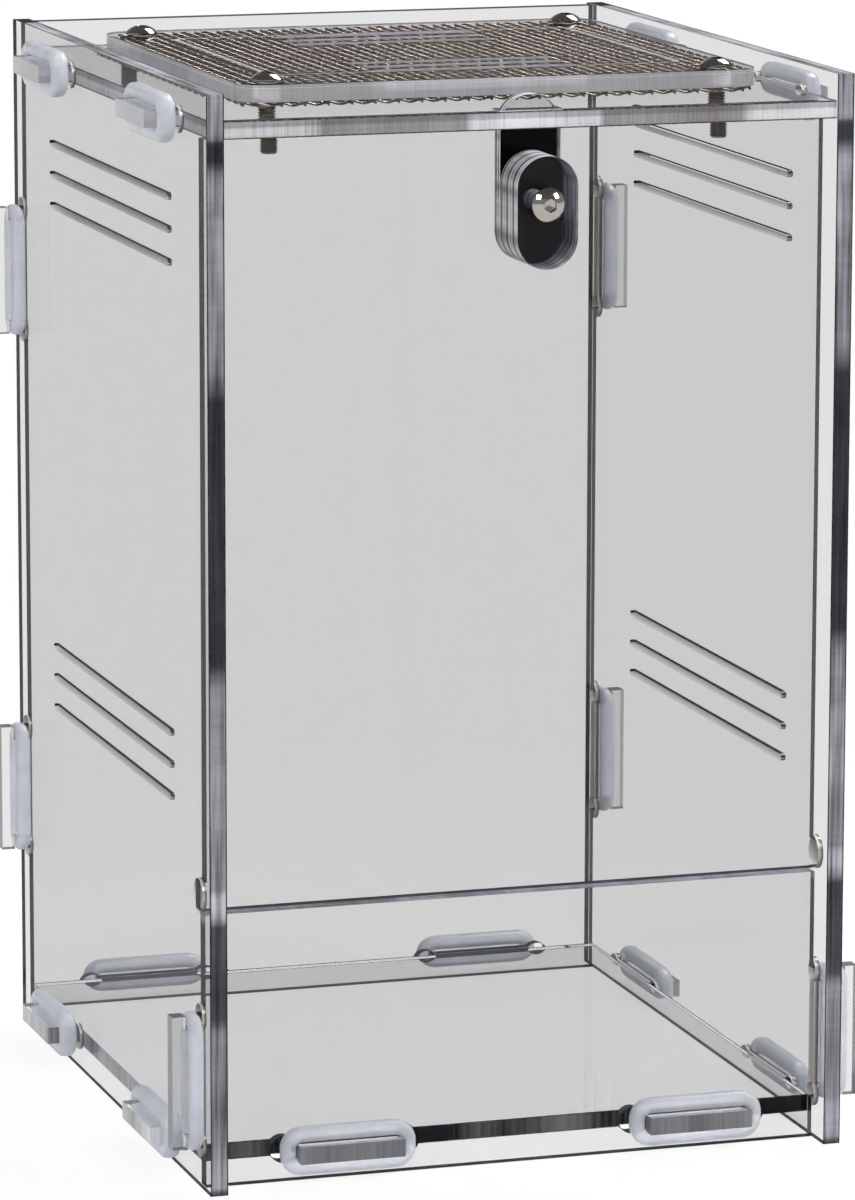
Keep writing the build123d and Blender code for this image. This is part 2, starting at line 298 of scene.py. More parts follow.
@dataclass(frozen=True)
class CastAcrylic:
    """Cast acrylic sheet, laser cut: clear faces with a faint smoke, and dark streaks along its cut edges,
    whose tones are painted light and shade.
    """

    name: str
    # Faces: their tint, and the share of each that bends light without mirroring the room.
    face_tint: str = "#ECECEB"
    calm: float = 0.9
    face_gloss: float = 0.5
    face_slopes: tuple[float, float] = (0.4, 0.8)
    ior: float = 1.49
    deep_tint: str = "#3F3F4B"
    deep_mm: float = 128.0
    shadow_tint: str = "#EDEDEF"
    # Cut edges: their tones of painted light and shade, by height or by distance from the middle, and what
    # marks them.
    edge_dark: str = "#11131A"
    edge_light: str = "#BDBDC6"
    edge_tone: float = 0.22
    rising_tones: Stops = ()
    sideways_tones: Stops = ()
    sideways_shade: float = 0.55
    sideways_shade_from: tuple[float, float] = (0.55, 0.65)
    edge_roughness: float = 0.15
    edge_clearness: float = 0.12
    edge_gloss: float = 0.0
    streak_mm: float = 0.9
    streak_share: float = 0.2
    line_mm: float = 0.45
    line_share: float = 0.5
    run_mm: float = 30.0
    cloud_mm: float = 9.0
    cloud_share: float = 0.25
    unbroken_mm: float = 100.0
    # Walls behind the front edge: levels of painted light and shade through the thickness, and how clear the
    # pale ones are.
    layers: Stops = ()
    layers_from_mm: float = 0.0
    layer_polish: float = 1.0
    # Corners of a cut: thin mottled lines, dark with painted shade and brown in places.
    arris_dark: str = "#0B0B0E"
    arris_brown: str = "#4A3D33"
    arris_mm: float = 0.3
    arris_fade: float = 0.4
    speckle_mm: float = 0.8
    speckle_span: tuple[float, float] = (0.45, 0.6)
    # Tabs, which start at a distance from the middle to the sides and to front and back.
    tab_dark: str = "#9C9CA4"
    tab_light: str = "#EDEDF2"
    tab_from_mm: tuple[float, float] = (500.0, 500.0)
    tab_centre_mm: float = 0.0
    tab_clearness: float = 0.5
    tab_gloss: float = 0.5
    tab_tone: float = 0.3
    tab_marks: float = 0.22
    end_tab_shade: float = 0.3
    # Cuts inside the outline: walls in painted light and shade, pale, grey and dark, and the two groups of
    # slits.
    pierced: tuple[str, str, str] | None = None
    rim_mm: float = 0.3
    slit_rows_mm: tuple[float, float] = (68.6, 159.1)
    slit_pitch_mm: float = 5.5
    slit_reach: float = 1.15
    # A painted back face, and a scored line that is frosted.
    backing: str | None = None
    backing_top_mm: float = 176.6
    frost_below_mm: float | None = None
    frost: float = 0.55
    skin_mm: float = 0.02

    def absorption(self, tree: NodeTree) -> Node:
        """Adds the sheet's own colour, which only shows over a long way through it.

        Args:
            tree: The material's tree.

        Returns:
            The volume node.
        """
        loss = [-math.log(level) / (self.deep_mm * MM) for level in linear(self.deep_tint)[:3]]
        most = max(loss)
        tint = [1 - part / most for part in loss]
        return add_node(tree, "ShaderNodeVolumeAbsorption", inputs={"Color": (*tint, 1.0), "Density": most})

    def wall_tone(self, plan: SheetPlan) -> tuple[Level, Level]:
        """Draws the painted light and shade of the cut edges, and where they are clear and polished.

        Args:
            plan: The sheet's plan.

        Returns:
            The tone and the polish.
        """
        add = partial(add_node, plan.tree)
        tone, polished = self.edge_tone, 0.0
        if self.rising_tones:
            end = self.rising_tones[-1][0] * MM
            tone = add("ShaderNodeValToRGB", None, [add(MATH, "DIVIDE", [plan.places.outputs[2], end])])
            fill_ramp(tone, self.rising_tones)
        if self.sideways_tones:
            end = self.sideways_tones[-1][0] * MM
            off = add(MATH, "ABSOLUTE", [plan.places.outputs[0]])
            ramp = add("ShaderNodeValToRGB", None, [add(MATH, "DIVIDE", [off, end])])
            fill_ramp(ramp, self.sideways_tones)
            thick, base = 2 * plan.half(plan.across), plan.low[plan.across]
            start, stop = (base + share * thick for share in self.sideways_shade_from)
            depth = plan.places.outputs[plan.across]
            upper = add(RANGE, None, [depth, start, stop, 1.0, self.sideways_shade])
            tone = add(MATH, "MULTIPLY", [ramp, upper])
        if self.layers:
            # Behind its front edge the sheet's walls are layered in painted dark lines of shade and clear,
            # polished bands.
            ramp = add("ShaderNodeValToRGB", None, [plan.level()])
            fill_ramp(ramp, self.layers)
            behind = add(MATH, "GREATER_THAN", [plan.places.outputs[1], self.layers_from_mm * MM])
            tone = add(RANGE, None, [behind, 0.0, 1.0, tone, ramp])
            polished = add(MATH, "MULTIPLY", [add(MATH, "MULTIPLY", [behind, ramp]), self.layer_polish])
        return tone, polished

    def inner_walls(self, plan: SheetPlan, cut: Node) -> tuple[Node, Level]:
        """Colours the walls of the cuts inside the sheet's outline with painted light and shade.

        Args:
            plan: The sheet's plan.
            cut: The colour of the outline's walls.

        Returns:
            The colour of all walls, and what is one on the outline alone.
        """
        if not self.pierced:
            return cut, 1.0
        # Painted light and shade: a slit's upper wall is in painted shade, and its lower wall is painted lit,
        # running from pale at one face to grey at the other. The walls of the slots and holes run from pale
        # to dark.
        add = partial(add_node, plan.tree)
        pale, grey, dark = self.pierced
        height = plan.places.outputs[2]
        rim = [plan.beyond(axis, plan.middle(axis), plan.half(axis) - self.rim_mm * MM)
               for axis in range(3) if axis != plan.across]
        outline = add(MATH, "MAXIMUM", rim)
        first, second = (row * MM for row in self.slit_rows_mm)
        higher = add(MATH, "GREATER_THAN", [height, (first + second) / 2])
        row = add(RANGE, None, [higher, 0.0, 1.0, first, second])
        place = add(MATH, "DIVIDE", [add(MATH, "SUBTRACT", [height, row]), self.slit_pitch_mm * MM])
        slit = add(MATH, "LESS_THAN", [add(MATH, "ABSOLUTE", [place]), self.slit_reach])
        upper = add(MATH, "GREATER_THAN", [place, add(MATH, "ROUND", [place])])
        far = add(MIX, COLOURS, {0: slit, 6: dark, 7: grey})
        walls = add(MIX, COLOURS, {0: plan.level(), 6: pale, 7: far})
        walls = add(MIX, COLOURS, {0: add(MATH, "MULTIPLY", [slit, upper]), 6: walls, 7: dark})
        inside = add(MATH, "SUBTRACT", [1.0, outline])
        return add(MIX, COLOURS, {0: inside, 6: cut, 7: walls}), outline

    def build(self, sheet: Object) -> Material:
        """Makes the finish for one sheet.

        Args:
            sheet: The sheet's object.

        Returns:
            The material.
        """
        material, tree = new_material(f"{self.name}_{sheet.name}")
        add = partial(add_node, tree)
        plan = SheetPlan.of(sheet, tree)
        depth = plan.places.outputs[plan.across]
        half = plan.half(plan.across)
        top = plan.high[plan.across]
        facing = add("ShaderNodeSeparateXYZ", None, [plan.spot.outputs["Normal"]])
        slope = add(MATH, "ABSOLUTE", [facing.outputs[plan.across]])
        edge = add(RANGE, None, [slope, *self.face_slopes, 1.0, 0.0])
        tone, polished = self.wall_tone(plan)
        lines = plan.grain(self.run_mm, self.line_mm, 2.0, (-self.line_share, self.line_share))
        streaks = plan.grain(self.streak_mm, self.unbroken_mm, 3.0, (-self.streak_share, self.streak_share))
        cloud_ends = (1.0 - self.cloud_share, 1.0 + self.cloud_share)
        clouds = plan.grain(self.cloud_mm, self.unbroken_mm, 1.0, cloud_ends)
        marks = add(MATH, "ADD", [add(MATH, "ADD", [lines, streaks]), clouds])
        shade = add(MATH, "MULTIPLY", [tone, marks])
        # The cut edges' tones, from dark to pale, are painted light and shade.
        cut = add(MIX, COLOURS, {0: shade, 6: self.edge_dark, 7: self.edge_light})
        cut, outline = self.inner_walls(plan, cut)
        # The cut's corners read as thin mottled lines, dark with painted shade and brown in places.
        off = add(MATH, "ABSOLUTE", [add(MATH, "SUBTRACT", [depth, plan.middle(plan.across)])])
        arris = self.arris_mm * MM
        corner = add(RANGE, None, [off, half - arris, half - self.arris_fade * arris, 0.0, 1.0])
        speckle = plan.grain(self.speckle_mm, self.speckle_mm, 2.0, (0.0, 1.0), self.speckle_span)
        shaded_corners = add(MIX, COLOURS, {0: speckle, 6: self.arris_dark, 7: self.arris_brown})
        cut = add(MIX, COLOURS, {0: add(MATH, "MULTIPLY", [corner, outline]), 6: cut, 7: shaded_corners})
        # Light comes in from all round where a tab stands out of its slot, so its edges are paler.
        end_tab = plan.beyond(1, plan.middle(1), self.tab_from_mm[1] * MM)
        tab = plan.beyond(0, self.tab_centre_mm * MM, self.tab_from_mm[0] * MM)
        tab = add(MATH, "MAXIMUM", [tab, end_tab])
        ends = add(MATH, "MULTIPLY", [add(MATH, "ADD", [streaks, clouds]), self.tab_marks])
        ends = add(MATH, "ADD", [ends, self.tab_tone])
        ends = add(MATH, "MULTIPLY", [ends, add(RANGE, None, [end_tab, 0.0, 1.0, 1.0, self.end_tab_shade])])
        tab_colour = add(MIX, COLOURS, {0: ends, 6: self.tab_dark, 7: self.tab_light})
        cut = add(MIX, COLOURS, {0: tab, 6: cut, 7: tab_colour})
        base = add(MIX, COLOURS, {0: edge, 6: self.face_tint, 7: cut})
        wall_clear = add(MATH, "MAXIMUM", [polished, self.edge_clearness])
        wall_clear = add(RANGE, None, [tab, 0.0, 1.0, wall_clear, self.tab_clearness])
        clear = add(RANGE, None, [edge, 0.0, 1.0, 1.0, wall_clear])
        rough = add(MATH, "MULTIPLY", [edge, self.edge_roughness])
        rough = add(MATH, "MULTIPLY", [rough, add(MATH, "SUBTRACT", [1.0, polished])])
        wall_gloss = add(RANGE, None, [tab, 0.0, 1.0, self.edge_gloss, self.tab_gloss])
        gloss = add(RANGE, None, [edge, 0.0, 1.0, self.face_gloss, wall_gloss])
        quiet = add(MATH, "MULTIPLY", [add(MATH, "SUBTRACT", [1.0, edge]), self.calm])
        if self.backing:
            behind = add(MATH, "GREATER_THAN", [depth, top - self.skin_mm * MM])
            below = add(MATH, "LESS_THAN", [plan.places.outputs[2], self.backing_top_mm * MM])
            painted = add(MATH, "MULTIPLY", [behind, below])
            bare = add(MATH, "SUBTRACT", [1.0, painted])
            base = add(MIX, COLOURS, {0: painted, 6: base, 7: self.backing})
            clear, gloss, quiet = (add(MATH, "MULTIPLY", [share, bare]) for share in (clear, gloss, quiet))
        if self.frost_below_mm:
            away = add(MATH, "SUBTRACT", [depth, top - self.frost_below_mm * MM])
            scored = add(MATH, "LESS_THAN", [add(MATH, "ABSOLUTE", [away]), self.skin_mm * MM])
            frosted = add(MATH, "MULTIPLY", [scored, self.frost])
            clear = add(MATH, "MULTIPLY", [clear, add(MATH, "SUBTRACT", [1.0, frosted])])
            rough = add(MATH, "ADD", [rough, frosted])
            quiet = add(MATH, "MULTIPLY", [quiet, add(MATH, "SUBTRACT", [1.0, scored])])
        acrylic = add("ShaderNodeBsdfPrincipled", None, {
            "Base Color": base, "Transmission Weight": clear, "Roughness": rough, "IOR": self.ior,
            "Specular IOR Level": gloss})
        # Most of a face only bends light, so that the pale studio doesn't veil the dark lines behind it.
        one_face = [math.sqrt(level) for level in linear(self.face_tint)]
        bent = add("ShaderNodeBsdfRefraction", None, {"Color": one_face, "Roughness": 0.0, "IOR": self.ior})
        seen = add("ShaderNodeMixShader", None, [quiet, acrylic, bent])
        passing = add("ShaderNodeBsdfTransparent", None, {"Color": self.shadow_tint})
        path = add("ShaderNodeLightPath")
        lit = add("ShaderNodeMixShader", None, [path.outputs["Is Shadow Ray"], seen, passing])
        add("ShaderNodeOutputMaterial", None, {"Surface": lit, "Volume": self.absorption(tree)})
        return material


@dataclass(frozen=True)
class MouldedSilicone:
    """Moulded silicone rubber: milky, soft and slightly see-through, with a satin skin."""

    name: str = "moulded_silicone"
    colour: str = "#F1F4FC"
    cloud_mm: float = 4.0
    cloud_levels: tuple[float, float] = (0.9, 1.05)
    ior: float = 1.41
    roughness: float = 0.32
    clearness: float = 0.6
    milkiness: float = 0.5
    milk_mm: float = 1.5
    milk_reach: tuple[float, float, float] = (1.0, 1.0, 1.2)

    def build(self) -> Material:
        """Makes the finish.

        Returns:
            The material.
        """
        material, tree = new_material(self.name)
        spot = add_node(tree, "ShaderNodeTexCoord")
        cloud = add_node(tree, "ShaderNodeTexNoise", inputs={
            "Vector": spot.outputs["Object"], "Scale": 1 / (self.cloud_mm * MM), "Detail": 2.0})
        tone = add_node(tree, RANGE, None, [cloud, *NOISE_SPAN, *self.cloud_levels])
        milky = add_node(tree, MIX, TINTED, {0: 1.0, 6: self.colour, 7: tone})
        skin = add_node(tree, "ShaderNodeBsdfPrincipled", inputs={
            "Base Color": milky, "Roughness": self.roughness, "IOR": self.ior,
            "Transmission Weight": self.clearness, "Subsurface Weight": self.milkiness,
            "Subsurface Radius": self.milk_reach, "Subsurface Scale": self.milk_mm * MM})
        add_node(tree, "ShaderNodeOutputMaterial", inputs={"Surface": skin})
        return material


@dataclass(frozen=True)
class StainlessSteel:
    """Stainless steel: a polished screw head, or drawn wire with a duller skin."""

    name: str
    colour: str
    roughness: float
    stain_mm: float = 1.5
    stain: float = 0.25
    dull_levels: tuple[float, float] = (0.7, 1.3)

    def build(self) -> Material:
        """Makes the finish.

        Returns:
            The material.
        """
        material, tree = new_material(self.name)
        spot = add_node(tree, "ShaderNodeTexCoord")
        cloud = add_node(tree, "ShaderNodeTexNoise", inputs={
            "Vector": spot.outputs["Object"], "Scale": 1 / (self.stain_mm * MM), "Detail": 3.0})
        tone = add_node(tree, RANGE, None, [cloud, *NOISE_SPAN, 1.0 - self.stain, 1.0])
        metal = add_node(tree, MIX, TINTED, {0: 1.0, 6: self.colour, 7: tone})
        least, most = (self.roughness * level for level in self.dull_levels)
        rough = add_node(tree, RANGE, None, [cloud, 0.0, 1.0, least, most])
        skin = add_node(tree, "ShaderNodeBsdfPrincipled", inputs={
            "Base Color": metal, "Metallic": 1.0, "Roughness": rough})
        add_node(tree, "ShaderNodeOutputMaterial", inputs={"Surface": skin})
        return material


# Back, front and door: clear sheet with edges in painted shade, and painted light where the gap under the
# door lets light into them.
CLEAR = CastAcrylic(
    "cast_acrylic", tab_dark="#2A2A33", tab_light="#9C9CA6", tab_from_mm=(56.05, 500.0),
    rising_tones=((0.0, 0.04), (3.0, 0.08), (45.0, 0.08), (46.0, 0.75), (47.1, 0.75), (47.4, 0.06),
                  (60.0, 0.1), (184.0, 0.1)))
# Sides: the slits, slots and holes let light into the front edge, which is paler at their heights.
SIDE_CLEAR = CastAcrylic(
    "cast_acrylic_side", pierced=("#E2DED6", "#7C7C82", "#0A1020"), line_mm=0.8, line_share=0.7,
    streak_share=0.08, layers_from_mm=60.0, layers=((0.0, 0.12), (0.2, 0.02), (0.8, 0.02), (1.0, 0.12)),
    rising_tones=((0.0, 0.05), (0.6, 0.05), (1.0, 0.6), (7.0, 0.55), (9.0, 0.4), (28.0, 0.38), (30.0, 0.1),
                  (46.0, 0.1), (47.0, 0.4), (49.0, 0.8), (51.0, 0.8), (52.5, 0.4), (62.0, 0.4), (64.0, 0.48),
                  (86.0, 0.42), (90.0, 0.05), (134.0, 0.04), (139.0, 0.36), (153.0, 0.42), (170.0, 0.46),
                  (173.0, 0.05), (176.0, 0.05), (177.0, 0.5), (184.0, 0.5)))
# Floor: bright faces, a front edge painted nearly black with shade, and clear bands between painted dark
# lines in the walls behind it.
FLOOR_CLEAR = CastAcrylic(
    "cast_acrylic_floor", face_tint="#FAFAFA", calm=0.65, edge_light="#FAFAFC", edge_tone=0.09,
    arris_brown="#8C7A66", arris_mm=0.25, tab_dark="#2E2C33", tab_light="#F4F4FA",
    tab_from_mm=(54.45, 59.8), tab_centre_mm=1.6, tab_clearness=0.25, streak_share=0.7, line_share=0.1,
    cloud_share=1.6, cloud_mm=12.0, layers_from_mm=-52.0,
    layers=((0.0, 0.0), (0.1, 0.0), (0.14, 0.97), (0.76, 0.97), (0.8, 0.08), (1.0, 0.05)))
# Lid: a finely striated edge in painted light and shade, pale at its ends and round the tongue, and darker
# between.
LID_CLEAR = CastAcrylic(
    "cast_acrylic_lid", edge_dark="#4A4746", edge_light="#E4E2E8", edge_clearness=0.3,
    arris_brown="#6E5A4C", tab_from_mm=(56.05, 500.0), streak_share=0.22, streak_mm=0.25, line_share=0.08,
    cloud_share=0.3, cloud_mm=14.0,
    sideways_tones=((0.0, 0.95), (11.0, 0.9), (12.0, 0.34), (36.0, 0.32), (38.0, 0.85), (56.0, 0.95)))
# Top plate: pale edges, and a scored line that is frosted.
TOP_CLEAR = CastAcrylic(
    "cast_acrylic_top", face_tint="#F6F6F6", edge_dark="#BEBDC2", edge_light="#FAFAFD", edge_tone=0.6,
    edge_clearness=0.55, edge_gloss=0.5, streak_mm=0.4, line_share=0.1, arris_mm=0.1, frost_below_mm=0.6)
# The latch's small polished plates catch light in lines along their edges.
GRIP_CLEAR = CastAcrylic(
    "cast_acrylic_latch", face_tint="#EDEDF0", edge_dark="#2A2B36", edge_light="#FCFCFF",
    edge_roughness=0.03, edge_clearness=0.4, deep_mm=400.0, streak_share=0.1, arris_mm=0.12,
    cloud_share=0.6, cloud_mm=3.0, layers_from_mm=-200.0, layer_polish=0.5,
    layers=((0.0, 0.7), (0.1, 0.8), (0.3, 0.4), (0.45, 0.75), (0.62, 0.6), (0.7, 0.1), (0.84, 0.06),
            (0.92, 0.5), (1.0, 0.7)))
# The tongue's back is black, so that it reads dark through the grip's plates.
BLACK_BACKED = replace(GRIP_CLEAR, name="black_backed_acrylic", backing="#060607", deep_mm=128.0)
# Silicone is milky, and light that gets into it spreads.
SILICONE = MouldedSilicone()
# Polished heads mirror the studio, threads are darker as a painted reflection of the dark room round them,
# and drawn wire is duller and stained.
POLISHED = StainlessSteel("polished_stainless", "#B4AEA8", 0.08, stain=0.12)
THREAD = StainlessSteel("painted_reflection_stainless_thread", "#7C746C", 0.2, stain=0.3)
WIRE = StainlessSteel("drawn_stainless_wire", "#7C7268", 0.2, stain=0.4)


class Sheet(Enum):
    """The acrylic that each group of sheets is cut from."""

    CLEAR = (CLEAR, ("back_panel", "lower_front_panel", "door_panel"))
    SIDE = (SIDE_CLEAR, ("left_panel", "right_panel"))
    FLOOR = (FLOOR_CLEAR, ("floor_panel",))
    LID = (LID_CLEAR, ("lid_plate",))
    TOP = (TOP_CLEAR, ("lid_top_plate",))
    GRIP = (GRIP_CLEAR, ("latch_grip_1", "latch_grip_2", "latch_grip_3"))
    TONGUE = (BLACK_BACKED, ("latch_tongue",))


def dress(node: str, material: Material) -> None:
    """Gives a frame node its finish and leaves its shape.

    Args:
        node: The frame node.
        material: The finish.
    """
    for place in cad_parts[node].material_slots:
        place.material = material
    LOG.info("%s keeps its frame shape, in %s", node, material.name)


@dataclass
class AcrylicSheets:
    """The enclosure's cut sheets, which keep their frame shapes and get their finish."""

    def build(self) -> None:
        """Gives every sheet the acrylic of its group."""
        for group in Sheet:
            finish, nodes = group.value
            for node in nodes:
                dress(node, finish.build(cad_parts[node]))


@dataclass
class Hardware:
    """Washer and nut behind the door, which keep their frame shapes."""

    nodes: tuple[str, ...] = ("latch_washer", "latch_nut")

    def build(self, steel: Material) -> None:
        """Gives the small hardware its steel.

        Args:
            steel: The polished steel.
        """
        for node in self.nodes:
            dress(node, steel)


@dataclass
class VentMesh:
    """Plain-woven steel wire cloth under the top plate."""

    wires: int = 45
    pitch: float = 2.02 * MM
    wire: float = 0.44 * MM
    lift: float = 0.5
    steps: int = 4
    sides: int = 6
    corner: float = 4.4 * MM
    screw_spacing: float = 79.0 * MM
    screw_clearance: float = 1.9 * MM

    def tree(self) -> NodeTree:
        """Builds the geometry tree of one set of parallel waved wires.

        Returns:
            The tree.
        """
        number, vector = "NodeSocketFloat", "NodeSocketVector"
        tree, given, end = geometry_tree("woven_wires", {
            "Wires": ("NodeSocketInt", self.wires), "Points": ("NodeSocketInt", 8),
            "Pitch": (number, self.pitch), "Wire Diameter": (number, self.wire),
            "Sides": ("NodeSocketInt", self.sides),
            "First Point": (vector, None), "Step": (vector, None), "Spread": (vector, None),
            "Lift": (number, 1.0), "Half Side": (number, 0.04), "Corner": (number, self.corner),
            "Screw Place": (number, 0.04), "Screw Clearance": (number, self.screw_clearance),
            "Centre": (vector, None), "Material": ("NodeSocketMaterial", None)})
        add = partial(add_node, tree)
        size = given.outputs
        run = add("GeometryNodeMeshLine", None, {
            "Count": size["Points"], "Start Location": size["First Point"], "Offset": size["Step"]})
        row = add("GeometryNodeMeshLine", None, {"Count": size["Wires"], "Offset": size["Spread"]})
        laid = add("GeometryNodeInstanceOnPoints", None, {"Points": row, "Instance": run})
        flat = add("GeometryNodeRealizeInstances", None, [laid])
        # Over and under: each wire waves along its run, against the wires beside it.
        spot = add("GeometryNodeInputPosition")
        part = add("ShaderNodeSeparateXYZ", None, [spot])
        waves = []
        for axis in (0, 1):
            turns = add(MATH, "DIVIDE", [part.outputs[axis], size["Pitch"]])
            waves.append(add(MATH, "COSINE", [add(MATH, "MULTIPLY", [turns, math.pi])]))
        swing = add(MATH, "MULTIPLY", [size["Lift"], size["Wire Diameter"]])
        height = add(MATH, "MULTIPLY", [add(MATH, "MULTIPLY", waves), swing])
        waved = add("GeometryNodeSetPosition", None, {
            "Geometry": flat, "Offset": add("ShaderNodeCombineXYZ", None, {"Z": height})})
        # The cloth ends at a square with round corners, and leaves a round hole for each screw.
        away = add(VECTORS, "ABSOLUTE", [spot])
        inset = add(MATH, "SUBTRACT", [size["Half Side"], size["Corner"]])
        square = add("ShaderNodeCombineXYZ", None, {"X": inset, "Y": inset})
        square = add(VECTORS, "MAXIMUM", [add(VECTORS, "SUBTRACT", [away, square])])
        screw = add("ShaderNodeCombineXYZ", None, {"X": size["Screw Place"], "Y": size["Screw Place"]})
        screw = add(VECTORS, "SUBTRACT", [away, screw])
        cuts = []
        tests = ((square, "GREATER_THAN", "Corner"), (screw, "LESS_THAN", "Screw Clearance"))
        for past, test, limit in tests:
            reach = add(VECTORS, "LENGTH", [add(VECTORS, "MULTIPLY", [past, LEVEL])])
            cuts.append(add(MATH, test, [reach.outputs["Value"], size[limit]]))
        kept = add("GeometryNodeDeleteGeometry", {"domain": "POINT"}, {
            "Geometry": waved, "Selection": add(MATH, "MAXIMUM", cuts)})
        lines = add("GeometryNodeMeshToCurve", None, {"Mesh": kept})
        half = add(MATH, "DIVIDE", [size["Wire Diameter"], 2.0])
        section = add("GeometryNodeCurvePrimitiveCircle", None, {
            "Resolution": size["Sides"], "Radius": half})
        tubes = add("GeometryNodeCurveToMesh", None, {
            "Curve": lines, "Profile Curve": section, "Fill Caps": True})
        smooth = add("GeometryNodeSetShadeSmooth", None, {"Geometry": tubes})
        moved = add("GeometryNodeTransform", None, {"Geometry": smooth, "Translation": size["Centre"]})
        real = add("GeometryNodeRealizeInstances", None, [moved])
        dressed = add("GeometryNodeSetMaterial", None, {"Geometry": real, "Material": size["Material"]})
        tree.links.new(dressed.outputs[0], end.inputs[0])
        return tree

    def build(self, steel: Material) -> None:
        """Weaves the two sets of wires in the net's place.

        Args:
            steel: The wire's finish.
        """
        low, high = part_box("lid_mesh")
        centre = (low + high) / 2
        reach = (self.wires - 1) / 2 * self.pitch
        step = self.pitch / self.steps
        start = -(reach + step)
        shared = {
            "Points": (self.wires - 1) * self.steps + 3, "Half Side": (high.x - low.x) / 2,
            "Screw Place": self.screw_spacing / 2, "Centre": tuple(centre), "Material": steel}
        tree = self.tree()
        sets = {
            "warp_wires": {"First Point": (-reach, start, 0), "Step": (0, step, 0),
                           "Spread": (self.pitch, 0, 0), "Lift": self.lift},
            "weft_wires": {"First Point": (start, -reach, 0), "Step": (step, 0, 0),
                           "Spread": (0, self.pitch, 0), "Lift": -self.lift},
        }
        for name, values in sets.items():
            cloth = place_object(name, grown_mesh(name, tree, {**shared, **values}))
            seat(cloth, "frame", "steel_mesh", "lid_mesh")


@dataclass
class ButtonScrew:
    """An M3 button-head screw with a hexagon socket and a cut thread."""

    head: float = 5.7 * MM
    height: float = 1.65 * MM
    rim: float = 0.4 * MM
    dome_from: float = 1.3
    dome_steps: int = 8
    # The bevel under the head's rim.
    under_height: float = 0.12 * MM
    under_inset: float = 0.1 * MM
    # The socket, with a bevelled mouth and a drilled cone in its floor.
    socket: float = 2.0 * MM
    socket_depth: float = 1.0 * MM
    mouth_width: float = 0.07 * MM
    mouth_depth: float = 0.08 * MM
    cone_depth: float = 0.25 * MM
    # The shank: the thread's flanks and crest, and how it runs out to the tip.
    shank: float = 3.0 * MM
    core: float = 2.46 * MM
    pitch: float = 0.5 * MM
    flank: float = 5.2
    crest: float = 0.8
    run_out: float = 0.7
    tip_inset: float = 0.05 * MM
    point: float = 0.02 * MM
    around: int = 36
    rings_per_pitch: int = 8
    crease: float = math.radians(35)

    def dome(self, radius: float) -> float:
        """The height of the domed top at a distance from the screw's axis.

        Args:
            radius: The distance from the axis.

        Returns:
            The height above the head's underside.
        """
        crown = self.height - self.rim
        ball = ((self.head / 2) ** 2 + crown ** 2) / (2 * crown)
        return self.height - ball + math.sqrt(ball ** 2 - radius ** 2)

    def thread(self, turn: float, depth: float) -> float:
        """The radius of the thread at an angle and a depth.

        Args:
            turn: The angle about the axis, in turns.
            depth: The distance below the head.

        Returns:
            The radius.
        """
        phase = (depth / self.pitch - turn) % 1.0
        groove = min(1.0, max(0.0, self.flank * abs(phase - 0.5) - self.crest))
        return (self.shank - (self.shank - self.core) * groove) / 2

    def rings(self, length: float) -> list[list[Vector]]:
        """Rings of points from the socket's floor, over the head and down the thread to the tip.

        Args:
            length: The shank's length below the head.

        Returns:
            The rings, from first to last.
        """
        angles = [2 * math.pi * step / self.around for step in range(self.around)]
        flats = [math.cos((a + math.pi / 6) % (math.pi / 3) - math.pi / 6) for a in angles]

        def ring(radii: list[float], heights: list[float]) -> list[Vector]:
            """A ring with its own radius and height at every angle."""
            spots = zip(angles, radii, heights)
            return [Vector((r * math.cos(a), r * math.sin(a), z)) for a, r, z in spots]

        def even(radius: float, height: float) -> list[Vector]:
            """A round, level ring."""
            return ring([radius] * self.around, [height] * self.around)

        hexagon = [self.socket / 2 / flat for flat in flats]
        mouth = [radius + self.mouth_width for radius in hexagon]
        floor = self.height - self.socket_depth
        made = [even(self.point, floor - self.cone_depth), ring(hexagon, [floor] * self.around)]
        made.append(ring(hexagon, [self.dome(r) - self.mouth_depth for r in mouth]))
        made.append(ring(mouth, [self.dome(r) for r in mouth]))
        first, last = self.socket / 2 * self.dome_from, self.head / 2
        for step in range(self.dome_steps + 1):
            radius = first + (last - first) * step / self.dome_steps
            made.append(even(radius, self.dome(radius)))
        made.append(even(last, self.under_height))
        made.append(even(last - self.under_inset, 0.0))
        made.append(even(self.shank / 2, 0.0))
        count = round(length / self.pitch * self.rings_per_pitch)
        for step in range(1, count):
            depth = length * step / count
            taper = min(1.0, (length - depth) / (self.run_out * self.pitch))
            radii = [self.thread(a / (2 * math.pi), depth) for a in angles]
            limit = self.core / 2 + (self.shank - self.core) / 2 * taper
            made.append(ring([min(r, limit) for r in radii], [-depth] * self.around))
        made.append(even(self.core / 2 - self.tip_inset, -length))
        made.append(even(self.point, -length))
        return made

    def mesh(self, name: str, length: float, steels: tuple[Material, ...]) -> Mesh:
        """Builds the screw with its head's underside at the origin and its shank pointing down.

        Args:
            name: The mesh's name.
            length: The shank's length.
            steels: The head's finish and the thread's.

        Returns:
            The mesh.
        """
        rings = self.rings(length)
        points = [point for ring in rings for point in ring]
        faces = []
        for row in range(len(rings) - 1):
            for step in range(self.around):
                after = (step + 1) % self.around
                a, b = row * self.around, (row + 1) * self.around
                faces.append((a + step, b + step, b + after, a + after))
        faces.append(tuple(range(self.around)))
        last = (len(rings) - 1) * self.around
        faces.append(tuple(last + step for step in reversed(range(self.around))))
        mesh = bpy.data.meshes.new(name)
        mesh.from_pydata(points, [], faces)
        for steel in steels:
            mesh.materials.append(steel)
        for face in mesh.polygons:
            face.material_index = int(face.center.z < UNDER_HEAD)
        mesh.shade_smooth()
        mesh.set_sharp_from_angle(angle=self.crease)
        return mesh


